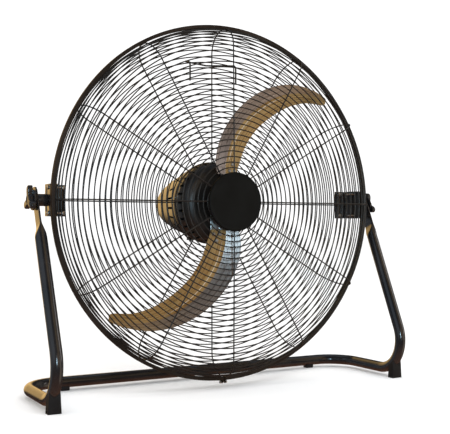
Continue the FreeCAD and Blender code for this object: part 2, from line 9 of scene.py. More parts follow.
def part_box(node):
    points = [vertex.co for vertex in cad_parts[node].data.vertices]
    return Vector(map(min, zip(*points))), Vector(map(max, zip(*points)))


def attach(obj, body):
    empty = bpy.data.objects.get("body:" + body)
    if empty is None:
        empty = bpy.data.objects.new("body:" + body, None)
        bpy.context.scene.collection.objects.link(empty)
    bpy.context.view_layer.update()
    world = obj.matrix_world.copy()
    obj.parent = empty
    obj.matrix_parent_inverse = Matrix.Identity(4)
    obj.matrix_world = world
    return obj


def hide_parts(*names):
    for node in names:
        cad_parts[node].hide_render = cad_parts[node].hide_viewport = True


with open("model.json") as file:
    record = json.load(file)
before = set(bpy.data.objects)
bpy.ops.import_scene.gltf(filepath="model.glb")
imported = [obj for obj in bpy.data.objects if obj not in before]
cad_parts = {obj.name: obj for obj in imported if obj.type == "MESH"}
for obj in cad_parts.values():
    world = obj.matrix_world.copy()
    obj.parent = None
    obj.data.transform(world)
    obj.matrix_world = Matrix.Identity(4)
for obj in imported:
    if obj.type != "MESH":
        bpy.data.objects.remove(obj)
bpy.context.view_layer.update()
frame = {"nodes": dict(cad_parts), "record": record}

# Places below are in millimetres about the hub: +X right, -Y front, +Z up, as the fan is drawn.
# at() moves them to the row frame, in metres.
MM = 0.001


def centre_of(node):
    low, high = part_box(node)
    return (low + high) / 2


HUB = (centre_of("front_edge_ring") + centre_of("rear_edge_ring")) / 2


def at(x, y, z):
    return HUB + Vector((x, y, z)) * MM


# ---- mesh tools ---------------------------------------------------------------------------------
def add_mesh(name, points, faces, material, sharp_degrees=35):
    """A mesh object from points in millimetres about the hub."""
    mesh = bpy.data.meshes.new(name)
    mesh.from_pydata([HUB + Vector(p) * MM for p in points], [], faces)
    mesh.validate()
    mesh.update()
    mesh.shade_smooth()
    mesh.set_sharp_from_angle(angle=radians(sharp_degrees))
    mesh.materials.append(material)
    piece = bpy.data.objects.new(name, mesh)
    bpy.context.scene.collection.objects.link(piece)
    return piece


def place(piece, body, slot, *nodes):
    """Rides on a body and stands for CAD nodes; slot is not used."""
    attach(piece, body)
    if nodes:
        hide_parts(*nodes)
    return piece


def joined(parts):
    """Several (points, faces) lists as one."""
    points, faces = [], []
    for part_points, part_faces in parts:
        start = len(points)
        points += part_points
        faces += [[i + start for i in face] for face in part_faces]
    return points, faces


def moved(part, matrix):
    return [matrix @ Vector(p) for p in part[0]], part[1]


def about_fan_axis(degrees):
    """Positive turns +X towards +Z, as angles on the guard are counted."""
    return Matrix.Rotation(radians(degrees), 4, Vector((0, -1, 0)))


MIRROR = Matrix.Scale(-1, 4, Vector((1, 0, 0)))


def mirrored(part):
    return [MIRROR @ Vector(p) for p in part[0]], [face[::-1] for face in part[1]]


def lathe(profile, segments, closed=True, start=0.0, sweep=360.0):
    """Turns an outline of (radius, y) about the fan axis. A part turn gets end caps."""
    whole = sweep >= 360
    count = segments if whole else segments + 1
    points = []
    for i in range(count):
        angle = radians(start + sweep * i / segments)
        for r, y in profile:
            points.append(Vector((r * cos(angle), y, r * sin(angle))))
    n = len(profile)
    faces = []
    for i in range(segments):
        a, b = i * n, (i + 1) % count * n
        for j in range(n if closed else n - 1):
            k = (j + 1) % n
            faces.append([a + j, a + k, b + k, b + j])
    if not whole:
        faces.append(list(range(n))[::-1])
        faces.append(list(range((count - 1) * n, count * n)))
    return points, faces


def smooth_step(t):
    t = min(max(t, 0.0), 1.0)
    return t * t * (3 - 2 * t)


def circle_profile(r, y, radius, sides):
    angles = [2 * pi * i / sides for i in range(sides)]
    return [(r + radius * cos(angle), y + radius * sin(angle)) for angle in angles]


def round_section(t):
    return 1.0, 1.0, 2.0


def swept_bar(path, radius, sides, section=round_section, side=None):
    """A bar along a list of points. section gives width and thickness in radii, and how square
    the outline is (2 is round), at a place from 0 to 1 along the list."""
    path = [Vector(p) for p in path]
    last = len(path) - 1
    heading = (path[1] - path[0]).normalized()
    side = Vector(side) if side else heading.orthogonal().normalized()
    points, faces = [], []
    for i, spot in enumerate(path):
        new_heading = (path[min(i + 1, last)] - path[max(i - 1, 0)]).normalized()
        side = heading.rotation_difference(new_heading) @ side
        heading = new_heading
        other = heading.cross(side)
        wide, thick, square = section(i / last)
        for j in range(sides):
            c, s = cos(2 * pi * j / sides), sin(2 * pi * j / sides)
            across = copysign(abs(c) ** (2 / square), c) * wide * radius
            through = copysign(abs(s) ** (2 / square), s) * thick * radius
            points.append(spot + other * across + side * through)
    for i in range(last):
        for j in range(sides):
            k = (j + 1) % sides
            a, b = i * sides, (i + 1) * sides
            faces.append([a + j, b + j, b + k, a + k])
    faces.append(list(range(sides)))
    faces.append(list(range(last * sides, (last + 1) * sides))[::-1])
    return points, faces


def rounded_run(corners, radius, step=4.0):
    """Points along straight runs joined by tangent arcs, closer together on the arcs."""
    corners = [Vector(c) for c in corners]
    path = [corners[0]]
    for before, corner, after in zip(corners, corners[1:], corners[2:]):
        into = (corner - before).normalized()
        out = (after - corner).normalized()
        turn = into.angle(out)
        cut = radius * tan(turn / 2)
        centre = corner + (out - into).normalized() * radius / cos(turn / 2)
        spoke = corner - into * cut - centre
        axis = into.cross(out).normalized()
        count = max(4, ceil(radius * turn / step))
        for i in range(count + 1):
            path.append(centre + Quaternion(axis, turn * i / count) @ spoke)
    path.append(corners[-1])
    return path


RECORD = frame["record"]
BODY_OF = {node: body for body, nodes in RECORD["behaviour"]["bodies"].items() for node in nodes}
SLOT_OF = {row["node"]: row["material_slot"] for row in RECORD["subparts"]}


def softened(node, width, segments=2):
    """A copy of a CAD part with its sharp edges rounded, which stands for the part."""
    mesh = frame["nodes"][node].data.copy()
    mesh.name = node + "_soft"
    shape = bmesh.new()
    shape.from_mesh(mesh)
    bmesh.ops.remove_doubles(shape, verts=shape.verts, dist=2e-6)
    bmesh.ops.dissolve_limit(shape, angle_limit=radians(0.6), verts=shape.verts, edges=shape.edges)
    sharp = [e for e in shape.edges if e.is_manifold and e.calc_face_angle(0) > radians(35)]
    bmesh.ops.bevel(shape, geom=sharp, offset=width * MM, segments=segments, profile=0.5,
                    affect="EDGES", clamp_overlap=True)
    shape.to_mesh(mesh)
    shape.free()
    mesh.shade_smooth()
    mesh.set_sharp_from_angle(angle=radians(40))
    mesh.materials.clear()
    mesh.materials.append(BY_SLOT[SLOT_OF[node]])
    piece = bpy.data.objects.new(node + "_soft", mesh)
    bpy.context.scene.collection.objects.link(piece)
    return place(piece, BODY_OF[node], SLOT_OF[node], node)


# ---- materials ----------------------------------------------------------------------------------
def new_material(name):
    material = bpy.data.materials.new(name)
    material.use_nodes = True
    nodes = material.node_tree.nodes
    shader = nodes["Principled BSDF"]
    return material, material.node_tree, shader


def add_noise(tree, scale, detail=3.0, stretch=(1, 1, 1)):
    """Object-space noise, optionally stretched along an axis."""
    place_node = tree.nodes.new("ShaderNodeTexCoord")
    mapping = tree.nodes.new("ShaderNodeMapping")
    mapping.inputs["Scale"].default_value = stretch
    tree.links.new(place_node.outputs["Object"], mapping.inputs["Vector"])
    texture = tree.nodes.new("ShaderNodeTexNoise")
    texture.inputs["Scale"].default_value = scale
    texture.inputs["Detail"].default_value = detail
    tree.links.new(mapping.outputs["Vector"], texture.inputs["Vector"])
    return texture


def add_ramp(tree, source, stops):
    """A colour ramp; stops are (place, colour)."""
    ramp = tree.nodes.new("ShaderNodeValToRGB")
    elements = ramp.color_ramp.elements
    while len(elements) < len(stops):
        elements.new(0.5)
    for element, (spot, colour) in zip(elements, stops):
        element.position = spot
        element.color = (*colour, 1)
    tree.links.new(source, ramp.inputs["Fac"])
    return ramp.outputs["Color"]


def add_range(tree, source, low, high):
    """Maps 0..1 to low..high."""
    node = tree.nodes.new("ShaderNodeMapRange")
    node.inputs["To Min"].default_value = low
    node.inputs["To Max"].default_value = high
    tree.links.new(source, node.inputs["Value"])
    return node.outputs["Result"]


def add_bump(tree, shader, height, strength, distance):
    bump = tree.nodes.new("ShaderNodeBump")
    bump.inputs["Strength"].default_value = strength
    bump.inputs["Distance"].default_value = distance
    tree.links.new(height, bump.inputs["Height"])
    tree.links.new(bump.outputs["Normal"], shader.inputs["Normal"])


def coated_metal(name, dark, light, rough, coat, grain_scale, grain_strength, specular=0.5):
    """Painted metal: slight mottling of colour and gloss, and a fine orange-peel surface. rough is
    the lowest and highest roughness."""
    material, tree, shader = new_material(name)
    mottle = add_noise(tree, 14, 4)
    colour = add_ramp(tree, mottle.outputs["Fac"], [(0.35, dark), (0.7, light)])
    tree.links.new(colour, shader.inputs["Base Color"])
    tree.links.new(add_range(tree, mottle.outputs["Fac"], *rough), shader.inputs["Roughness"])
    peel = add_noise(tree, grain_scale, 2)
    add_bump(tree, shader, peel.outputs["Fac"], grain_strength, 0.0004)
    shader.inputs["Coat Weight"].default_value = coat
    shader.inputs["Coat Roughness"].default_value = 0.06
    shader.inputs["Specular IOR Level"].default_value = specular
    return material


def moulded_plastic(name, dark, light, rough, grain_scale, grain_strength, specular=0.5):
    """Plain moulded plastic or rubber with a fine grain."""
    material, tree, shader = new_material(name)
    mottle = add_noise(tree, 22, 3)
    colour = add_ramp(tree, mottle.outputs["Fac"], [(0.3, dark), (0.75, light)])
    tree.links.new(colour, shader.inputs["Base Color"])
    tree.links.new(add_range(tree, mottle.outputs["Fac"], *rough), shader.inputs["Roughness"])
    grain = add_noise(tree, grain_scale, 2)
    add_bump(tree, shader, grain.outputs["Fac"], grain_strength, 0.0003)
    shader.inputs["Specular IOR Level"].default_value = specular
    return material


def bare_metal(name, dark, light, rough, scale, stretch, bump_strength):
    """Metal with a drawn or brushed grain."""
    material, tree, shader = new_material(name)
    grain = add_noise(tree, scale, 6, stretch)
    colour = add_ramp(tree, grain.outputs["Fac"], [(0.3, dark), (0.75, light)])
    tree.links.new(colour, shader.inputs["Base Color"])
    tree.links.new(add_range(tree, grain.outputs["Fac"], *rough), shader.inputs["Roughness"])
    add_bump(tree, shader, grain.outputs["Fac"], bump_strength, 0.0002)
    shader.inputs["Metallic"].default_value = 1.0
    return material


def mixed(tree, attribute, plain, marked):
    """One colour or another, as a value kept on the mesh says."""
    amount = tree.nodes.new("ShaderNodeAttribute")
    amount.attribute_name = attribute
    mix = tree.nodes.new("ShaderNodeMix")
    mix.data_type = "RGBA"
    tree.links.new(amount.outputs["Fac"], mix.inputs["Factor"])
    tree.links.new(plain, mix.inputs["A"])
    if isinstance(marked, tuple):
        mix.inputs["B"].default_value = (*marked, 1)
    else:
        tree.links.new(marked, mix.inputs["B"])
    return mix.outputs["Result"]


def blade_metal():
    """Rolled sheet with a faint grain along the blade; the leading half is painted with a warm
    reflection, the other half with a cool one, and a painted highlight runs as a bright line along the
    sheet."""
    material, tree, shader = new_material("blade_metal")
    place_node = tree.nodes.new("ShaderNodeAttribute")
    place_node.attribute_name = "sheet_place"
    grain = tree.nodes.new("ShaderNodeTexNoise")
    grain.inputs["Scale"].default_value = 1.0
    grain.inputs["Detail"].default_value = 5.0
    tree.links.new(place_node.outputs["Vector"], grain.inputs["Vector"])
    amount = grain.outputs["Fac"]
    # The two ramps are painted reflection tones: warm for the leading half, cool for the trailing half.
    warm = add_ramp(tree, amount, [(0.35, (0.34, 0.22, 0.09)), (0.68, (0.58, 0.44, 0.22))])
    cool = add_ramp(tree, amount, [(0.35, (0.22, 0.185, 0.17)), (0.68, (0.41, 0.365, 0.34))])
    halves = mixed(tree, "painted_warm_reflection", cool, warm)
    # A near-white painted highlight along a line on the sheet.
    colour = mixed(tree, "painted_highlight_line", halves, (0.92, 0.88, 0.80))
    tree.links.new(colour, shader.inputs["Base Color"])
    tree.links.new(add_range(tree, amount, 0.20, 0.38), shader.inputs["Roughness"])
    add_bump(tree, shader, amount, 0.05, 0.0002)
    shader.inputs["Metallic"].default_value = 0.86
    shader.inputs["Coat Weight"].default_value = 0.3
    shader.inputs["Coat Roughness"].default_value = 0.1
    return material


BY_SLOT = {
    "tube_paint": coated_metal(
        "tube_paint", (0.006, 0.006, 0.007), (0.014, 0.012, 0.012), (0.14, 0.24), 0.5, 900, 0.10),
    "rim_paint": coated_metal(
        "rim_paint", (0.013, 0.008, 0.005), (0.024, 0.016, 0.011), (0.44, 0.56), 0.0, 900, 0.10, 0.14),
    "wire_paint": coated_metal(
        "wire_paint", (0.006, 0.006, 0.006), (0.013, 0.012, 0.011), (0.30, 0.42), 0.1, 1500, 0.08),
    "motor_paint": coated_metal(
        "motor_paint", (0.006, 0.006, 0.006), (0.016, 0.013, 0.011), (0.24, 0.36), 0.4, 1200, 0.12),
    "badge_plastic": moulded_plastic(
        "badge_plastic", (0.003, 0.003, 0.0025), (0.005, 0.005, 0.0045), (0.55, 0.65), 2600, 0.12, 0.12),
    "knob_plastic": moulded_plastic(
        "knob_plastic", (0.006, 0.006, 0.007), (0.013, 0.012, 0.012), (0.14, 0.24), 1800, 0.06),
    "foot_rubber": moulded_plastic(
        "foot_rubber", (0.007, 0.006, 0.006), (0.014, 0.012, 0.012), (0.5, 0.66), 1400, 0.2, 0.2),
    "part_plastic": moulded_plastic(
        "part_plastic", (0.06, 0.06, 0.065), (0.10, 0.10, 0.11), (0.4, 0.5), 1400, 0.1),
    "blade_metal": blade_metal(),
    "plated_steel": bare_metal(
        "plated_steel", (0.42, 0.41, 0.40), (0.62, 0.61, 0.58), (0.24, 0.38), 120, (1, 6, 1), 0.05),
    "core_steel": bare_metal(
        "core_steel", (0.10, 0.10, 0.105), (0.20, 0.20, 0.21), (0.4, 0.55), 40, (1, 40, 1), 0.3),
    "copper_wire": bare_metal(
        "copper_wire", (0.45, 0.16, 0.06), (0.75, 0.34, 0.16), (0.25, 0.4), 90, (1, 8, 1), 0.3),
}


def paint_cad_nodes():
    for node, slot in SLOT_OF.items():
        for slot_place in frame["nodes"][node].material_slots:
            slot_place.material = BY_SLOT[slot]


paint_cad_nodes()


# ---- guard wires --------------------------------------------------------------------------------
SPOKE_R = 1.5
RING_R = 1.4
SPOKES = 12
RING_PITCH = 12.6
SIDE_RINGS = 6
SPOKE_START_R = 398.8
SHOULDER_Y = 5.5
FRONT = dict(side=-1, bend=44.5, end_r=40.0, end_y=-54.0, rings=23, first_ring=0.0)
REAR = dict(side=1, bend=49.5, end_r=84.0, end_y=55.0, rings=20, first_ring=5.7)


def shoulder_point(half, angle, offset):
    """Radius and depth on the bent shoulder, at an angle from the rim's side towards the face."""
    radius = half["bend"] + offset
    r = SPOKE_START_R - half["bend"] + radius * cos(angle)
    return r, half["side"] * (SHOULDER_Y + radius * sin(angle))


def face_point(half, r, inset):
    """Depth of the nearly flat face at a radius."""
    face_r, face_y = shoulder_point(half, pi / 2, 0)
    return half["end_y"] + (face_y - half["end_y"]) * r / face_r - half["side"] * inset


def spoke_path(half):
    """One wire, from the rim round the shoulder and across the face towards the middle."""
    path = [(SPOKE_START_R, half["side"] * 1.0), (SPOKE_START_R, half["side"] * SHOULDER_Y)]
    path += [shoulder_point(half, pi / 2 * i / 16, 0) for i in range(1, 17)]
    face_r = path[-1][0]
    for i in range(1, 7):
        r = face_r + (half["end_r"] - face_r) * i / 6
        path.append((r, face_point(half, r, 0)))
    return [Vector((r, y, 0)) for r, y in path]


def make_guard_half(name, half):
    """The spokes of one half, and the rings welded to them."""
    inset = SPOKE_R + RING_R
    face_r, _ = shoulder_point(half, pi / 2, 0)
    face_rings = []
    for i in range(half["rings"]):
        r = face_r - half["first_ring"] - RING_PITCH * i
        segments = 96 if r < 150 else 192
        face_rings.append(lathe(circle_profile(r, face_point(half, r, inset), RING_R, 8), segments))
    side_rings = []
    for i in range(1, SIDE_RINGS + 1):
        r, y = shoulder_point(half, pi / 2 * i / (SIDE_RINGS + 1), -inset)
        side_rings.append(lathe(circle_profile(r, y, RING_R, 8), 224))
    spoke = swept_bar(spoke_path(half), SPOKE_R, 10)
    spokes = [moved(spoke, about_fan_axis(360 / SPOKES * i)) for i in range(SPOKES)]
    made = (("face_rings", face_rings), ("side_rings", side_rings), ("guard_spokes", spokes))
    for part, pieces in made:
        node = name + "_" + part
        piece = add_mesh(node + "_wire", *joined(pieces), BY_SLOT["wire_paint"], 60)
        place(piece, "head", "wire_paint", node)


make_guard_half("front", FRONT)
make_guard_half("rear", REAR)


# ---- rim, handle and badge ----------------------------------------------------------------------
RIM_R = 406.9
RIM_HALF = 7.0


def rim_outline():
    """The rolled channel: a flat band with rounded shoulders and lips turned in over the two wires."""
    outer = []
    for side, first, last in ((-1, -90, 0), (1, 0, 90)):
        for i in range(7):
            angle = radians(first + (last - first) * i / 6)
            outer.append((RIM_R - 3 + 3 * cos(angle), side * (RIM_HALF - 3) + 3 * sin(angle)))
    lip = 398.9
    inner = [(lip + 0.4, RIM_HALF), (lip, RIM_HALF - 0.5),
             (lip, RIM_HALF - 1.2), (lip + 0.5, RIM_HALF - 1.5),
             (RIM_R - 1.6, RIM_HALF - 1.5), (RIM_R - 1.6, -RIM_HALF + 1.5), (lip + 0.5, -RIM_HALF + 1.5),
             (lip, -RIM_HALF + 1.2), (lip, -RIM_HALF + 0.5), (lip + 0.4, -RIM_HALF)]
    return outer + inner


def rim_ear():
    """A folded tab beside the split, with rounded corners."""
    outline = [(-5, -0.8), (5, -0.8), (5, 5), (4.1, 7.1), (2, 8), (-2, 8), (-4.1, 7.1), (-5, 5)]
    points = []
    for x, scale in ((1.0, 0.94), (1.3, 1.0), (3.1, 1.0), (3.4, 0.94)):
        points += [Vector((x, y * scale, -RIM_R - z * scale)) for y, z in outline]
    n = len(outline)
    faces = [list(range(n))[::-1], list(range(3 * n, 4 * n))]
    for row in range(3):
        for j in range(n):
            k = (j + 1) % n
            faces.append([row * n + j, row * n + k, (row + 1) * n + k, (row + 1) * n + j])
    hinge = Matrix.Translation((1, 0, -RIM_R)) @ Matrix.Rotation(radians(-18), 4, "Y")
    return moved((points, faces), hinge @ Matrix.Translation((-1, 0, RIM_R)))


def make_rim():
    """The rolled ring, split at the bottom between two ears."""
    half_split = 0.14
    ring = lathe(rim_outline(), 256, start=-90 + half_split, sweep=360 - 2 * half_split)
    ear = rim_ear()
    piece = add_mesh("guard_rim_rolled", *joined([ring, ear, mirrored(ear)]), BY_SLOT["rim_paint"], 40)
    place(piece, "head", "rim_paint", "guard_rim")


def make_handle():
    """Bent wire with its feet welded to the rear of the guard."""
    rear_y, wire_r, bend_r = 55.5, 2.0, 12.0
    corners = [(-57, rear_y, 285), (-57, rear_y, 330), (-57, rear_y + 34, 336), (4, rear_y + 36, 331),
               (65, rear_y + 34, 336), (65, rear_y, 330), (65, rear_y, 285)]
    bar = swept_bar(rounded_run(corners, bend_r, 1.5), wire_r, 14)
    piece = add_mesh("carry_handle_wire", *bar, BY_SLOT["wire_paint"], 50)
    place(piece, "head", "wire_paint", "carry_handle")


def make_badge():
    """The round cap: a soft outer edge, a raised bead and a slightly domed middle."""
    r, front, back = 66.5, -61.6, -55.6
    profile = [(r, back)]
    for i in range(9):
        angle = radians(90 * i / 8)
        profile.append((r - 2.5 + 2.5 * cos(angle), front + 2.5 - 2.5 * sin(angle)))
    profile += [(r - 4.0, front), (r - 4.6, front + 0.15)]
    profile += [(r - 5.3, front + 0.55), (r - 6.4, front + 0.6)]
    profile += [(r * k, front + 0.6 - 0.25 * (1 - k * k)) for k in (0.85, 0.7, 0.55, 0.4, 0.25, 0.1)]
    profile += [(0.05, front + 0.35), (0.05, back), (r - 2, back)]
    piece = add_mesh("front_badge_cap", *lathe(profile, 160), BY_SLOT["badge_plastic"], 40)
    place(piece, "head", "badge_plastic", "front_badge")


make_rim()
make_handle()
make_badge()


# ---- blades -------------------------------------------------------------------------------------
# As the CAD blade: radius and angle of the trailing edge, radius and angle of the leading edge,
# then the depths of the trailing edge, the pressed crease and the leading edge.
BLADE_STATIONS = (
    (70, 113.0, 70, 62.5, -24.0, -12.64, -4.16), (92, 110.8, 92, 64.5, -26.0, -12.48, -2.27),
    (140, 100.0, 140, 66.0, -29.0, -13.0, -2.5), (190, 88.8, 190, 63.2, -30.0, -14.0, -4.0),
    (240, 78.4, 240, 58.2, -29.0, -15.0, -6.0), (290, 68.0, 288, 53.0, -26.0, -15.0, -7.0),
    (335, 57.6, 328, 47.8, -21.0, -13.0, -7.5), (363, 49.4, 352, 43.6, -16.0, -11.0, -7.5),
    (377, 44.6, 364, 41.6, -12.0, -9.5, -7.5), (382, 42.4, 373, 41.0, -10.5, -9.0, -7.5),
)
CREASE_AT = 0.55
# Where across the sheet a bright line is painted as a highlight.
PAINTED_HIGHLIGHT_AT = 0.44
TIP_STARTS_AT = 0.93
SHEET = 1.5
GRAIN_ACROSS = 22
GRAIN_ALONG = 5
# Places of the points from the leading edge to the trailing edge, close together at the edges, at
# the painted highlight line and at the crease.
ACROSS_PLACES = (0.004, 0.02, 0.06, 0.16, 0.28, 0.40, 0.425, 0.432, 0.448, 0.455,
                 0.50, 0.54, 0.55, 0.56, 0.60, 0.70, 0.80, 0.90, 0.98, 0.996)


def between_stations(t):
    """Smooth values at a place from 0, the root, to 1, the tip."""
    scaled = t * (len(BLADE_STATIONS) - 1)
    i = min(int(scaled), len(BLADE_STATIONS) - 2)
    u = scaled - i
    row = []
    for k in range(7):
        a, b = BLADE_STATIONS[i][k], BLADE_STATIONS[i + 1][k]
        before = BLADE_STATIONS[i - 1][k] if i else 2 * a - b
        after = BLADE_STATIONS[i + 2][k] if i + 2 < len(BLADE_STATIONS) else 2 * b - a
        bend = 2 * before - 5 * a + 4 * b - after
        row.append(a + 0.5 * u * (b - before + u * (bend + u * (3 * (a - b) + after - before))))
    return row


def blade_point(values, across):
    """A point of the front face, from the leading edge at 0 to the trailing edge at 1."""
    trailing_r, trailing, leading_r, leading, trailing_y, crease_y, leading_y = values
    leading, trailing = radians(leading), radians(trailing)
    lead = Vector((leading_r * cos(leading), leading_y, leading_r * sin(leading)))
    trail = Vector((trailing_r * cos(trailing), trailing_y, trailing_r * sin(trailing)))
    point = lead.lerp(trail, across)
    if across < CREASE_AT:
        point.y = leading_y + (crease_y - leading_y) * across / CREASE_AT
    else:
        point.y = crease_y + (trailing_y - crease_y) * (across - CREASE_AT) / (1 - CREASE_AT)
    return point


def blade_rows():
    """Rows of front-face points; the last few draw in to round off the tip."""
    rows = []
    steps = 96
    for i in range(steps + 1):
        t = i / steps
        values = between_stations(t)
        tip = max(0.0, (t - TIP_STARTS_AT) / (1 - TIP_STARTS_AT))
        pinch = 0.25 * (1 - sqrt(max(0.0, 1 - tip * tip)))
        rows.append([blade_point(values, pinch * 0.5 + a * (1 - pinch)) for a in ACROSS_PLACES])
    return rows


def make_blade_mesh(name, node, turn):
    """One sheet: its shape, and the values on it that the finish reads."""
    rows = blade_rows()
    places = ACROSS_PLACES
    count = len(places)
    points, faces, warmth, sheet_places, painted_highlight_amounts = [], [], [], [], []
    for i, front in enumerate(rows):
        along = i / (len(rows) - 1)
        # Towards the tip the trailing half's painted cool reflection gives way to the painted warm one.
        painted_tip_tone = 0.8 * smooth_step((along - 0.5) / 0.4)
        # How strongly the painted highlight line shows, from near the root to mid-blade.
        painted_highlight_strength = smooth_step((along - 0.1) / 0.08) * (1 - smooth_step((along - 0.5) / 0.12))
        back = [p + Vector((0, SHEET, 0)) for p in front]
        lead_edge = (front[0] + back[0]) / 2 + (front[0] - front[1]).normalized() * 0.35
        trail_edge = (front[-1] + back[-1]) / 2 + (front[-1] - front[-2]).normalized() * 0.35
        points += front + [trail_edge] + back[::-1] + [lead_edge]
        shade = [1.0 if a < CREASE_AT else painted_tip_tone for a in places]
        warmth += shade + [painted_tip_tone] + shade[::-1] + [1.0]
        for across in (*places, 1.0, *places[::-1], 0.0):
            sheet_places += [across * GRAIN_ACROSS, along * GRAIN_ALONG, 0.0]
            painted_highlight_amounts.append(painted_highlight_strength if abs(across - PAINTED_HIGHLIGHT_AT) < 0.01 else 0.0)
    loop = 2 * count + 2
    for i in range(len(rows) - 1):
        for j in range(loop):
            k = (j + 1) % loop
            faces.append([i * loop + j, (i + 1) * loop + j, (i + 1) * loop + k, i * loop + k])
    faces += [list(range(loop)), list(range((len(rows) - 1) * loop, len(rows) * loop))[::-1]]
    blade = moved((points, faces), about_fan_axis(turn))
    piece = add_mesh(name, *blade, BY_SLOT["blade_metal"], 30)
    # Each point's painted reflection tone: 1 is the warm one, 0 the cool one.
    tint = piece.data.attributes.new("painted_warm_reflection", "FLOAT", "POINT")
    tint.data.foreach_set("value", warmth)
    sheet = piece.data.attributes.new("sheet_place", "FLOAT_VECTOR", "POINT")
    sheet.data.foreach_set("vector", sheet_places)
    line = piece.data.attributes.new("painted_highlight_line", "FLOAT", "POINT")
    line.data.foreach_set("value", painted_highlight_amounts)
    place(piece, "impeller", "blade_metal", node)


make_blade_mesh("upper_blade_sheet", "upper_blade", 0)
make_blade_mesh("lower_blade_sheet", "lower_blade", 180)


# ---- stand --------------------------------------------------------------------------------------
FLOOR = -423.3
TUBE_R = 12.6
LEG_X = 428.0
TAB_X = 429.0
LEG_LEAN = radians(24.5)
BEND_R = 75.0
PIVOT_Y = 32.0
LOOP_Z = FLOOR + 6.0 + TUBE_R
CROSSBAR_Y = 140.0
TAB_WIDTH_R = 16.0
TAB_HALF = 2.0
ROUND_END_Z = -79.0
FLAT_START_Z = -50.0
TAB_TOP_Z = 12.0


def leg_centre(z, x):
    return Vector((x, PIVOT_Y + z * tan(LEG_LEAN), z))


def tab_section(z):
    """Width, thickness and squareness of the leg at a height: round below, pressed flat above."""
    flat = smooth_step((z - ROUND_END_Z) / (FLAT_START_Z - ROUND_END_Z))
    wide = TUBE_R + (TAB_WIDTH_R - TUBE_R) * flat
    along = (z - TAB_TOP_Z) / cos(LEG_LEAN)
    if along > 0:
        wide = sqrt(max(TAB_WIDTH_R ** 2 - along ** 2, 0.6))
    thick = TUBE_R + (TAB_HALF - TUBE_R) * flat
    return wide / TUBE_R, thick / TUBE_R, 2 + 4.5 * flat


def make_stand_tube():
    """The whole bent tube, from one flattened end round the base loop to the other."""
    top = TAB_TOP_Z + TAB_WIDTH_R * cos(LEG_LEAN) - 0.01
    # Close together at the round end, wider apart down the tab, then even where it turns round.
    heights = [top - 0.35 * i * i for i in range(7)] + [12, 4, -6, -16, -28, -40]
    heights += [FLAT_START_Z + (ROUND_END_Z - FLAT_START_Z) * i / 12 for i in range(13)]
    left = []
    for z in heights:
        flat = smooth_step((z - ROUND_END_Z) / (FLAT_START_Z - ROUND_END_Z))
        left.append(leg_centre(z, -LEG_X - (TAB_X - LEG_X) * flat))
    loop_left = [leg_centre(ROUND_END_Z - 1, -LEG_X), leg_centre(LOOP_Z, -LEG_X)]
    loop_left.append(Vector((-LEG_X, CROSSBAR_Y, LOOP_Z)))
    loop_right = [Vector((-p.x, p.y, p.z)) for p in reversed(loop_left)]
    loop = rounded_run(loop_left + loop_right, BEND_R)
    right = [Vector((-p.x, p.y, p.z)) for p in reversed(left)]
    path = left + loop + right
    sections = [tab_section(p.z) for p in path]
    last = len(path) - 1
    bar = swept_bar(path, TUBE_R, 40, lambda t: sections[round(t * last)], side=(1, 0, 0))
    piece = add_mesh("stand_tube_bent", *bar, BY_SLOT["tube_paint"], 50)
    place(piece, "stand", "tube_paint", "stand_tube", "left_leg_tab", "right_leg_tab")


make_stand_tube()


# ---- knobs --------------------------------------------------------------------------------------
KNOB_START_X = 433.1
KNOB_CORE_R = 13.0
LOBE_AT = 23                 # middle of each lobe, from the stud
LOBE_R = 8
WEB_HALF = 6                 # half the width of the web that joins a lobe to the core


def lobe_radius(angle):
    """The outline of the three-lobed grip, before it is smoothed."""
    reach = KNOB_CORE_R
    for lobe in (90, 210, 330):
        off = (angle - radians(lobe) + pi) % (2 * pi) - pi
        if abs(off) < pi / 2:
            if abs(LOBE_AT * sin(off)) < LOBE_R:
                reach = max(reach, LOBE_AT * cos(off) + sqrt(LOBE_R ** 2 - (LOBE_AT * sin(off)) ** 2))
            reach = max(reach, min(WEB_HALF / max(abs(sin(off)), 0.01), LOBE_AT / cos(off)))
    return reach


def grip_outline(count):
    """The grip's radius at even steps round it, with its corners smoothed."""
    raw = [lobe_radius(2 * pi * i / count) for i in range(count)]
    for _ in range(3):
        raw = [(raw[i - 1] + 2 * raw[i] + raw[(i + 1) % count]) / 4 for i in range(count)]
    return raw


def make_pivot_knob():
    """The right knob: a thin skirt and a three-lobed grip with rounded edges and a dished end."""
    count = 96
    grip = grip_outline(count)
    skirt_rows = ((0.0, 5.2), (0.0, 21.4), (0.5, 22.0), (3.2, 22.0), (3.9, 21.4), (4.0, 20.0))
    grip_rows = ((4.0, 0.0), (10.5, 0.0), (12.2, -0.5), (13.4, -1.6), (14.0, -3.2))
    dish_rows = ((14.0, 9.0), (14.0, 8.0), (13.0, 7.4), (13.0, 0.3))
    rows = [[(x, r) for _ in range(count)] for x, r in skirt_rows]
    rows += [[(x, grip[i] + inset) for i in range(count)] for x, inset in grip_rows]
    rows += [[(x, r) for _ in range(count)] for x, r in dish_rows]
    points, faces = [], []
    for row in rows:
        for i, (x, r) in enumerate(row):
            angle = 2 * pi * i / count
            points.append(Vector((KNOB_START_X + x, PIVOT_Y + r * cos(angle), r * sin(angle))))
    for a in range(len(rows) - 1):
        for i in range(count):
            k = (i + 1) % count
            faces.append([a * count + i, a * count + k, (a + 1) * count + k, (a + 1) * count + i])
    faces.append(list(range((len(rows) - 1) * count, len(rows) * count)))
    return points, faces


def make_knobs():
    knob = make_pivot_knob()
    for side, shape in (("right", knob), ("left", mirrored(knob))):
        piece = add_mesh(side + "_knob_moulding", *shape, BY_SLOT["knob_plastic"], 40)
        place(piece, side + "_knob", "knob_plastic", side + "_pivot_knob")


make_knobs()

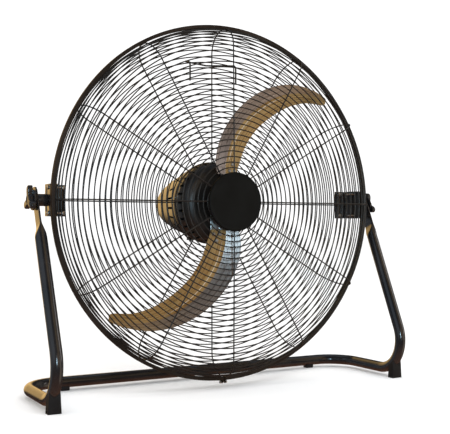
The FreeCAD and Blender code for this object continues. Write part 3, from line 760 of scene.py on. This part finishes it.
# CAD parts that show as they are, with their sharp edges rounded by these widths.
SOFT_EDGES = (
    ("left_front_foot", 1.2), ("right_front_foot", 1.2), ("rear_foot_pads", 1.0),
    ("left_pivot_saddle", 0.7), ("right_pivot_saddle", 0.7),
    ("left_pivot_boss", 0.8), ("right_pivot_boss", 0.8),
    ("left_inner_clamp_plate", 0.5), ("right_inner_clamp_plate", 0.5), ("saddle_screws", 0.5),
    ("left_pivot_washer", 0.3), ("right_pivot_washer", 0.3), ("speed_knob", 0.5), ("cable_gland", 0.6),
    ("hub_spider", 0.5), ("hub_nut", 0.4), ("blade_rivets", 0.4), ("motor_mount_plate", 0.4),
    ("rim_clamp_screw", 0.4), ("rim_clamp_nut", 0.3),
)
for soft_node, soft_width in SOFT_EDGES:
    softened(soft_node, soft_width)


# ---- stage, light and camera --------------------------------------------------------------------
def add_area_light(name, place_m, target_m, size, energy, colour):
    light = bpy.data.lights.new(name, "AREA")
    light.shape = "RECTANGLE"
    light.size, light.size_y = size
    light.energy = energy
    light.color = colour
    lamp = bpy.data.objects.new(name, light)
    lamp.location = place_m
    lamp.rotation_euler = (Vector(target_m) - Vector(place_m)).to_track_quat("-Z", "Y").to_euler()
    lamp.visible_camera = False
    bpy.context.scene.collection.objects.link(lamp)
    return lamp


def make_stage():
    floor_mesh = bpy.data.meshes.new("floor")
    floor_mesh.from_pydata([(-30, -30, 0), (30, -30, 0), (30, 30, 0), (-30, 30, 0)], [], [(0, 1, 2, 3)])
    floor = bpy.data.objects.new("floor", floor_mesh)
    bpy.context.scene.collection.objects.link(floor)
    material, tree, shader = new_material("pale_floor")
    shader.inputs["Base Color"].default_value = (0.93, 0.93, 0.93, 1)
    shader.inputs["Roughness"].default_value = 0.9
    shader.inputs["Specular IOR Level"].default_value = 0.1
    floor_mesh.materials.append(material)
    floor.visible_glossy = False


def facing(tree, direction, toward, start, end):
    """0 to 1 as the sky's direction turns towards a given one."""
    dot = tree.nodes.new("ShaderNodeVectorMath")
    dot.operation = "DOT_PRODUCT"
    dot.inputs[1].default_value = Vector(toward).normalized()
    tree.links.new(direction, dot.inputs[0])
    amount = tree.nodes.new("ShaderNodeMapRange")
    amount.interpolation_type = "SMOOTHSTEP"
    amount.inputs["From Min"].default_value = start
    amount.inputs["From Max"].default_value = end
    tree.links.new(dot.outputs["Value"], amount.inputs["Value"])
    return amount.outputs["Result"]


ROOM_STRENGTH = 1.16
REFLECTED_DARK = (0.020, 0.019, 0.021)
# What gloss reflects out of the dark: the way to each soft panel, where it starts and is full, as
# the cosine of the angle from there, and its colour.
REFLECTED_PANELS = (
    ((0, 0, -1), 0.1, 0.9, (0.34, 0.15, 0.08)),                       # floor
    ((-0.80, 0.60, 0.0), 0.80, 0.98, (0.22, 0.26, 0.30)),             # behind at the left
    ((-0.85, -0.25, 0.46), 0.76, 0.95, (0.38, 0.46, 0.55)),           # high at the left
    ((0.60, -0.50, 0.62), 0.78, 0.95, (0.70, 0.47, 0.20)),            # high at the right
    ((-0.05, 1.0, 0.28), 0.87, 0.945, (1.35, 0.87, 0.34)),            # warm wall behind
    ((0.93, -0.20, 0.25), 0.55, 0.95, (0.24, 0.21, 0.185)),           # right
    ((0.78, -0.48, -0.40), 0.92, 0.985, (0.92, 0.72, 0.54)),          # low at the right
    ((0.10, -0.97, 0.20), 0.925, 0.985, (0.62, 0.42, 0.24)),          # in front
    ((0.70, -0.71, 0.05), 0.965, 0.995, (1.15, 1.0, 0.8)),            # in front at the right
    ((0.1, 0.1, 1), 0.75, 0.98, (0.30, 0.34, 0.40)),                  # ceiling
)


def add_world():
    """A white room for the eye and for plain surfaces, and a dim one for what gloss reflects."""
    world = bpy.data.worlds.new("studio")
    bpy.context.scene.world = world
    world.use_nodes = True
    tree = world.node_tree
    room = tree.nodes["Background"]
    room.inputs["Color"].default_value = (1, 1, 1, 1)
    room.inputs["Strength"].default_value = ROOM_STRENGTH
    direction = tree.nodes.new("ShaderNodeTexCoord").outputs["Generated"]
    colour = None
    for toward, start, end, tone in REFLECTED_PANELS:
        mix = tree.nodes.new("ShaderNodeMix")
        mix.data_type = "RGBA"
        tree.links.new(facing(tree, direction, toward, start, end), mix.inputs["Factor"])
        mix.inputs["B"].default_value = (*tone, 1)
        if colour:
            tree.links.new(colour, mix.inputs["A"])
        else:
            mix.inputs["A"].default_value = (*REFLECTED_DARK, 1)
        colour = mix.outputs["Result"]
    reflected = tree.nodes.new("ShaderNodeBackground")
    tree.links.new(colour, reflected.inputs["Color"])
    chooser = tree.nodes.new("ShaderNodeMixShader")
    path = tree.nodes.new("ShaderNodeLightPath")
    tree.links.new(path.outputs["Is Glossy Ray"], chooser.inputs["Fac"])
    tree.links.new(room.outputs["Background"], chooser.inputs[1])
    tree.links.new(reflected.outputs["Background"], chooser.inputs[2])
    tree.links.new(chooser.outputs["Shader"], tree.nodes["World Output"].inputs["Surface"])


def add_lights():
    """Soft lamps in the room; the gloss sees the cool one and the right one only."""
    key = add_area_light("key", (0.6, -2.6, 3.0), (0, 0, 0.4), (1.4, 1.0), 34, (0.94, 0.97, 1.0))
    add_area_light("front_cool", (-1.4, -3.8, 0.62), (0, 0, 0.35), (0.22, 0.9), 36, (0.56, 0.82, 1.0))
    warm = add_area_light("warm_left", (-3.2, 0.9, 0.8), (0, 0, 0.4), (0.7, 1.8), 24, (1.0, 0.66, 0.32))
    add_area_light("soft_right", (3.0, -1.2, 1.2), (0, 0, 0.4), (0.6, 1.8), 11, (0.95, 0.88, 0.84))
    for lamp in (key, warm):
        lamp.visible_glossy = False


# The camera's view: the direction that it looks from, its distance from the hub and its offset
# across that direction, in millimetres, then its sensor and lens, and the shift in picture widths.
CAMERA_AZIMUTH = radians(-29.05)
CAMERA_ELEVATION = radians(-0.96)
CAMERA_ROLL = radians(-0.05)
CAMERA_DISTANCE = 1992.8
CAMERA_OFFSET = (17.67, -29.66)
SENSOR_WIDTH = 36.0
LENS = 69.2792
LENS_SHIFT = (-0.012711, -0.003667)


def make_camera():
    level = cos(CAMERA_ELEVATION)
    back = Vector((sin(CAMERA_AZIMUTH) * level, -cos(CAMERA_AZIMUTH) * level, sin(CAMERA_ELEVATION)))
    right = (-back).cross(Vector((0, 0, 1))).normalized()
    up = right.cross(-back)
    c, s = cos(CAMERA_ROLL), sin(CAMERA_ROLL)
    right, up = right * c + up * s, up * c - right * s
    data = bpy.data.cameras.new("camera")
    data.sensor_fit = "HORIZONTAL"
    data.sensor_width = SENSOR_WIDTH
    data.lens = LENS
    data.shift_x, data.shift_y = LENS_SHIFT
    data.clip_start = 0.05
    camera = bpy.data.objects.new("camera", data)
    spot = back * CAMERA_DISTANCE + right * CAMERA_OFFSET[0] + up * CAMERA_OFFSET[1]
    camera.matrix_world = Matrix.Translation(at(*spot)) @ Matrix((right, up, back)).transposed().to_4x4()
    bpy.context.scene.collection.objects.link(camera)
    bpy.context.scene.camera = camera


make_stage()
add_world()
add_lights()
make_camera()
bpy.context.scene.view_settings.view_transform = "Standard"
